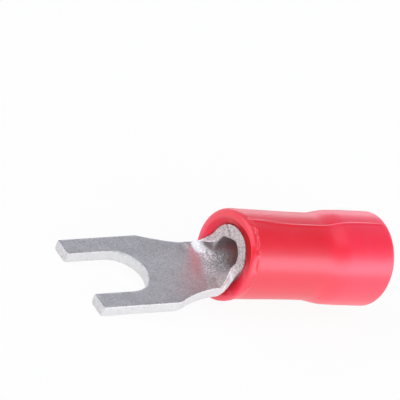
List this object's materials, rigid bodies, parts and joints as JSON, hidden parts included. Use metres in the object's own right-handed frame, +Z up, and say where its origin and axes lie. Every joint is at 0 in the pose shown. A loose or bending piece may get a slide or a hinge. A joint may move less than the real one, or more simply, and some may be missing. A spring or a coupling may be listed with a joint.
{
  "type": "fork terminal",
  "caption": "Insulated crimp fork terminal: flat forked tongue that slides under a screw head, rolled wire barrel and a belled red sleeve.",
  "frame": {"origin": "on the surface that the terminal rests on, below the middle of its length", "axes": "+X along the barrel from the fork to the wire entry, +Y across the fork, +Z up from the resting surface"},
  "size_m": [0.0186, 0.0054, 0.0052],
  "materials": {
    "tinned_copper": "satin tin plating over copper sheet",
    "red_pvc": "satin, slightly translucent soft PVC"
  },
  "bodies": {
    "root": {"contact": "tinned_copper", "sleeve": "red_pvc"}
  },
  "joints": []
}
